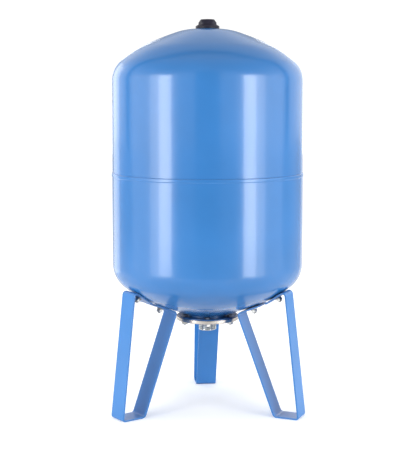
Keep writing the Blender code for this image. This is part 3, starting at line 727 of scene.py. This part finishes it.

# Flange bolts and nuts: six hexagon bolts of 8 mm in slightly rougher zinc, put in from above
# through both flanges, and a plain nut of zinc on each below the pan. The bolts' zinc is
# coloured dark grey-blue as painted shade, for the shade under the dome where their heads sit.
SCREW = 0.004
SCREW_PITCH = 0.00125
SCREW_DEPTH = 0.0006
HEX_ACROSS = 0.013
HEX_CROWN = 0.0061
HEAD_HEIGHT = 0.0042
NUT_HEIGHT = 0.0065
BOLT_LENGTH = 0.0195
BOLT_SHANK = 0.006
NUT_TURN = 0.37
SCREW_STEPS = 48


def hex_level(across, height, crown=None, sink=0.0):
    """A hexagon's outline at a height; with a crown circle given, its corners are turned
    down from that height towards sink, as on a chamfered nut."""

    def level(angle):
        off = angle % (math.pi / 3) - math.pi / 6
        r = across / 2 / math.cos(off)
        drop = 0.0 if crown is None else max(0.0, r - crown) * math.tan(math.radians(30))
        return r, height + math.copysign(drop, sink)

    return level


def nut_levels(across, height, bore, crown):
    """A plain nut with both ends chamfered, hanging down from its upper face."""
    return [
        (bore, -0.0005),
        (bore + 0.0005, 0.0),
        (crown, 0.0),
        hex_level(across, 0.0, crown, -1),
        hex_level(across, -height, crown, 1),
        (crown, -height),
        (bore + 0.0005, -height),
        (bore, -height + 0.0005),
    ]


def screw_levels(length, shank):
    """A screw hanging down from height 0: its turned tip and its thread, up to the shank."""
    levels = [(SCREW - 0.0009, -length), (SCREW - 0.0002, -length + 0.0006)]
    return levels + thread(SCREW, SCREW_PITCH, SCREW_DEPTH, -length + 0.0007, -shank)


levels = screw_levels(BOLT_LENGTH, BOLT_SHANK)
levels += [(SCREW, -0.0001), (HEX_CROWN, 0.0), hex_level(HEX_ACROSS, 0.0001)]
levels += [hex_level(HEX_ACROSS, HEAD_HEIGHT, HEX_CROWN, -1), (HEX_CROWN, HEAD_HEIGHT)]
bolt_mesh = turned("flange_bolt", levels, SCREW_STEPS, closed=False)
screw_nut = nut_levels(HEX_ACROSS, NUT_HEIGHT, SCREW + GAP, HEX_CROWN)
nut_mesh = turned("flange_nut", screw_nut, SCREW_STEPS)
screw_zinc = zinc("screw_zinc", (0.50, 0.50, 0.48), roughness=0.30, grain=0.1)
# Painted shade: the bolts' zinc is dark grey-blue for the shade under the dome.
bolt_zinc_painted_shade = zinc("bolt_zinc_painted_shade", (0.12, 0.14, 0.19), roughness=0.36, grain=0.1)
for number, spot in enumerate(bolt_spots, 1):
    turn = Matrix.Rotation(NUT_TURN * number, 4, "Z")
    above = Matrix.Translation((0, 0, RING_TOP + GAP)) @ spot
    below = Matrix.Translation((0, 0, PAN_BOTTOM - GAP)) @ spot
    bolt = place(f"hex_bolt_{number}", bolt_mesh, bolt_zinc_painted_shade, "tank", above)
    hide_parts(f"flange_bolt_{number}")
    nut = place(f"hex_nut_{number}", nut_mesh, screw_zinc, "tank", below @ turn)
    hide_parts(f"flange_nut_{number}")

# Legs: three alike, each one flat steel strip 50 by 4 mm folded into a narrow loop. The two
# turned-in ends lie against the lower dome, and the fold at the bottom is the foot.
STRIP = 0.004
STRIP_WIDTH = 0.050
STRIP_EDGE = 0.0006
LEG_TURN = math.radians(6.8)
OUTER_STUD = 0.1834
INNER_STUD = 0.1234
LEG_OFFSET = (OUTER_STUD + INNER_STUD) / 2 * math.tan(LEG_TURN)
TAB_OVERHANG = 0.026
OUTER_BEND = 0.0313
INNER_BEND = 0.0323
FOOT_REACH = 0.2468
FOOT_LENGTH = 0.063
FOLDS = (0.007, 0.005, 0.010, 0.007)
LEG_AZIMUTHS = {"back": 90.0, "left": 210.0, "right": 330.0}


def dome_seat(distance):
    """Height and slope of the lower dome at a distance from the tank's axis."""
    points = dome(TANK_RADIUS, depth=0.0, hole=DOME_FLAT, counts=(60, 60, 60, 60))
    for (r0, h0), (r1, h1) in zip(points, points[1:]):
        if r0 <= distance <= r1:
            share = (distance - r0) / (r1 - r0)
            return LOWER_FLAT + h0 + share * (h1 - h0), math.atan2(h1 - h0, r1 - r0)


half = STRIP / 2
seats = [(distance, *dome_seat(distance)) for distance in (OUTER_STUD, INNER_STUD)]
tabs = []
for distance, height, slope in seats:
    along = Vector((math.cos(slope), math.sin(slope)))
    tabs.append((Vector((distance, height)) + (GAP + half) * Vector((along.y, -along.x)), along))
(outer_tab, outer_along), (inner_tab, inner_along) = tabs
corners = [
    outer_tab - outer_along * TAB_OVERHANG,
    outer_tab + outer_along * OUTER_BEND,
    Vector((FOOT_REACH - half, half)),
    Vector((FOOT_REACH - FOOT_LENGTH + half, half)),
    inner_tab - inner_along * INNER_BEND,
    inner_tab + inner_along * TAB_OVERHANG,
]
line = softened(corners, FOLDS)
leg_bm = bmesh.new()
rings = []
for i, point in enumerate(line):
    u = (point - line[i - 1]).normalized() if i else (line[1] - point).normalized()
    v = (line[i + 1] - point).normalized() if i < len(line) - 1 else u
    normal = Vector((-(u + v).y, (u + v).x)).normalized()
    ring = []
    for across, through in ((-1, -1), (1, -1), (1, 1), (-1, 1)):
        for k in (-1, 0, 1):
            a = math.atan2(through, across) + k * math.pi / 4
            y = across * (STRIP_WIDTH / 2 - STRIP_EDGE) + STRIP_EDGE * math.cos(a)
            p = point + normal * (through * (half - STRIP_EDGE) + STRIP_EDGE * math.sin(a))
            ring.append(leg_bm.verts.new((p.x, y, p.y)))
    rings.append(ring)
for near, far in zip(rings, rings[1:]):
    for k in range(len(near)):
        n = (k + 1) % len(near)
        leg_bm.faces.new((near[k], near[n], far[n], far[k]))
leg_bm.faces.new(rings[0])
leg_bm.faces.new(rings[-1])
stud_holes = []
for distance, height, slope in seats:
    lean = Matrix.Rotation(-slope, 4, "Y")
    stud_holes.append(Matrix.Translation((distance, 0, height)) @ lean)
leg_mesh = drilled(smooth_mesh(leg_bm, "leg_strip"), stud_holes, depth=0.016)
leg_blue = (0.036, 0.180, 0.47)
leg_coat = paint("leg_coat", leg_blue, roughness=0.32, peel=0.1, gloss=0.08)
leg_turns = {}
for name, azimuth in LEG_AZIMUTHS.items():
    turn = Matrix.Rotation(math.radians(azimuth) + LEG_TURN, 4, "Z")
    leg_turns[name] = turn @ Matrix.Translation((0, -LEG_OFFSET, 0))
    leg = place(f"leg_strip_{name}", leg_mesh, leg_coat, "tank", leg_turns[name])
    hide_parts(f"leg_{name}")

# Leg studs: six studs of 8 mm welded to the lower dome, two to a leg, with a plain washer
# and a nut on each, all zinc-plated.
WASHER = 0.0016
WASHER_RADIUS = 0.008
STUD_END = 0.003
STUD_SHANK = 0.002
STUD_ROOT = 0.0008
STUD_LENGTH = STRIP + WASHER + NUT_HEIGHT + STUD_END + 2 * GAP
levels = screw_levels(STUD_LENGTH, STUD_SHANK) + [(SCREW, STUD_ROOT)]
stud_mesh = turned("leg_stud", levels, SCREW_STEPS, closed=False)
corners = [
    (SCREW + GAP, 0),
    (WASHER_RADIUS, 0),
    (WASHER_RADIUS, -WASHER),
    (SCREW + GAP, -WASHER),
]
bends = (0.0002, 0.0003, 0.0005, 0.0002)
outline = softened(corners, bends, closed=True)
washer_mesh = turned("leg_washer", outline, SCREW_STEPS)
leg_nut_mesh = turned("leg_nut", screw_nut, SCREW_STEPS)
leg_zinc = zinc("leg_screw_zinc", (0.50, 0.50, 0.48), roughness=0.30, grain=0.1)
drops = {
    "stud": (stud_mesh, GAP),
    "washer": (washer_mesh, 2 * GAP + STRIP),
    "nut": (leg_nut_mesh, 3 * GAP + STRIP + WASHER),
}
for name, leg_turn in leg_turns.items():
    for side, stud_hole in zip(("outer", "inner"), stud_holes):
        for kind, (mesh, drop) in drops.items():
            spot = leg_turn @ stud_hole @ Matrix.Translation((0, 0, -drop))
            piece = place(f"{kind}_{name}_{side}", mesh, leg_zinc, "tank", spot)
            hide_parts(f"leg_{kind}_{name}_{side}")

# Air valve: a brass stem through the dome, held by a rubber gasket and a thin nut, with the
# valve core and its pin inside. A welded steel boss stands round it. The cap hides them all.
STEM = 0.004
STEM_BORE = 0.0025
STEM_TOP = UPPER_FLAT + 0.0125
STEM_UNDER = UPPER_FLAT - SHELL_WALL - GAP
STEM_TAIL = STEM_UNDER - 0.007
STEM_FLANGE = 0.009
FLANGE_LOW = STEM_UNDER - 0.003
VALVE_PITCH = 0.0008
VALVE_DEPTH = 0.0004
VALVE_GASKET = 0.0015
VALVE_NUT = 0.0035
VALVE_NUT_ACROSS = 0.014
VALVE_NUT_CROWN = 0.0066
NUT_TOP = UPPER_FLAT + 2 * GAP + VALVE_GASKET + VALVE_NUT
BOSS_INSIDE = 0.01048
BOSS_OUTSIDE = 0.01548
BOSS_LOW = UPPER_FLAT + GAP
BOSS_TOP = BOSS_LOW + 0.005
levels = [(STEM_BORE, STEM_TAIL), (STEM, STEM_TAIL), (STEM, FLANGE_LOW)]
levels += [(STEM_FLANGE, FLANGE_LOW), (STEM_FLANGE, STEM_UNDER), (STEM, STEM_UNDER)]
levels += thread(STEM, VALVE_PITCH, VALVE_DEPTH, NUT_TOP, STEM_TOP - 0.0004)
levels += [(STEM - 0.0004, STEM_TOP), (STEM_BORE + 0.0003, STEM_TOP)]
levels += [(STEM_BORE, STEM_TOP - 0.0003)]
brass = surface(
    "valve_brass",
    (0.72, 0.53, 0.22),
    roughness=0.26,
    metallic=1.0,
    patch_scale=60.0,
    spread=0.08,
    grain_scale=900.0,
    grain=0.1,
)
stem = place("threaded_stem", turned("valve_stem", levels, SCREW_STEPS), brass, "tank")
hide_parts("valve_stem")
levels = nut_levels(VALVE_NUT_ACROSS, VALVE_NUT, STEM + GAP, VALVE_NUT_CROWN)
valve_nut_mesh = turned("valve_nut", levels, SCREW_STEPS)
spot = Matrix.Translation((0, 0, NUT_TOP))
valve_nut = place("hex_valve_nut", valve_nut_mesh, brass, "tank", spot)
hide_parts("valve_nut")
corners = [
    (BOSS_INSIDE, BOSS_LOW),
    (BOSS_OUTSIDE, BOSS_LOW),
    (BOSS_OUTSIDE, BOSS_TOP),
    (BOSS_INSIDE, BOSS_TOP),
]
bends = (0.0003, 0.0003, 0.0007, 0.0007)
outline = softened(corners, bends, closed=True)
boss_steel = surface(
    "boss_steel",
    (0.52, 0.52, 0.53),
    roughness=0.34,
    metallic=1.0,
    patch_scale=40.0,
    spread=0.1,
    grain_scale=900.0,
    grain=0.2,
)
boss = place("boss_ring", turned("valve_boss", outline, PIPE_STEPS), boss_steel, "tank")
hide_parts("valve_boss")
gasket_rubber = surface(
    "gasket_rubber",
    (0.025, 0.025, 0.026),
    roughness=0.55,
    metallic=0.0,
    patch_scale=60.0,
    spread=0.2,
    grain_scale=900.0,
    grain=0.2,
)
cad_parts["valve_gasket"].material_slots[0].material = gasket_rubber
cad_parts["valve_core"].material_slots[0].material = brass

# Cover cap: moulded in black plastic, with a round foot, a sloping shoulder and a hexagon
# head whose corners are cut back by a cone. Its hollow drops over the boss and the valve.
CAP_INSIDE = 0.01578
CAP_HOLLOW = 0.016
CAP_HEX = 0.0220
CAP_HEX_TOP = 0.0217
CAP_FOOT = 0.0280
CAP_RIM = 0.0057
CAP_SHOULDER = 0.0096
CAP_TOP = 0.0220
CAP_DIMPLE = 0.0062
CAP_STEPS = 96
CONE_SLOPE = 1.39


def cap_corner(radius, top=None):
    """The head's outline at the shoulder, or where the cone meets it under the top."""
    corner = radius - 0.0006

    def level(angle):
        off = angle % (math.pi / 3) - math.pi / 6
        r = min(corner, radius * math.cos(math.pi / 6) / math.cos(off))
        if top is None:
            return r, CAP_SHOULDER
        return r, top - max(0.0, r - CAP_INSIDE) * CONE_SLOPE

    return level


levels = [(CAP_INSIDE - 0.0005, CAP_HOLLOW), (CAP_INSIDE, CAP_HOLLOW - 0.0005)]
levels += [(CAP_INSIDE, GAP), (CAP_FOOT - 0.0004, GAP), (CAP_FOOT, GAP + 0.0005)]
levels += [(CAP_FOOT, CAP_RIM), (CAP_FOOT - 0.0003, CAP_RIM + 0.0005)]
levels += [(CAP_FOOT - 0.0008, CAP_RIM + 0.0009), (CAP_HEX + 0.0011, CAP_SHOULDER - 0.0004)]
levels += [(CAP_HEX + 0.0004, CAP_SHOULDER - 0.0001), cap_corner(CAP_HEX)]
levels += [cap_corner(CAP_HEX_TOP, CAP_TOP), (CAP_INSIDE + 0.0003, CAP_TOP - 0.0004)]
levels += [(CAP_INSIDE - 0.0002, CAP_TOP - 0.0001), (CAP_INSIDE - 0.0007, CAP_TOP)]
levels += [(CAP_DIMPLE, CAP_TOP), (CAP_DIMPLE - 0.0004, CAP_TOP - 0.0003)]
cap_mesh = turned("cover_cap", levels, CAP_STEPS, closed=False)
black = surface(
    "cap_plastic",
    (0.014, 0.012, 0.024),
    roughness=0.45,
    metallic=0.0,
    patch_scale=40.0,
    spread=0.15,
    grain_scale=800.0,
    grain=0.25,
)
black.node_tree.nodes["Principled BSDF"].inputs["Specular IOR Level"].default_value = 0.25
cap = place("moulded_cap", cap_mesh, black, "cap", Matrix.Translation((0, 0, UPPER_FLAT)))
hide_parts("cover_cap")
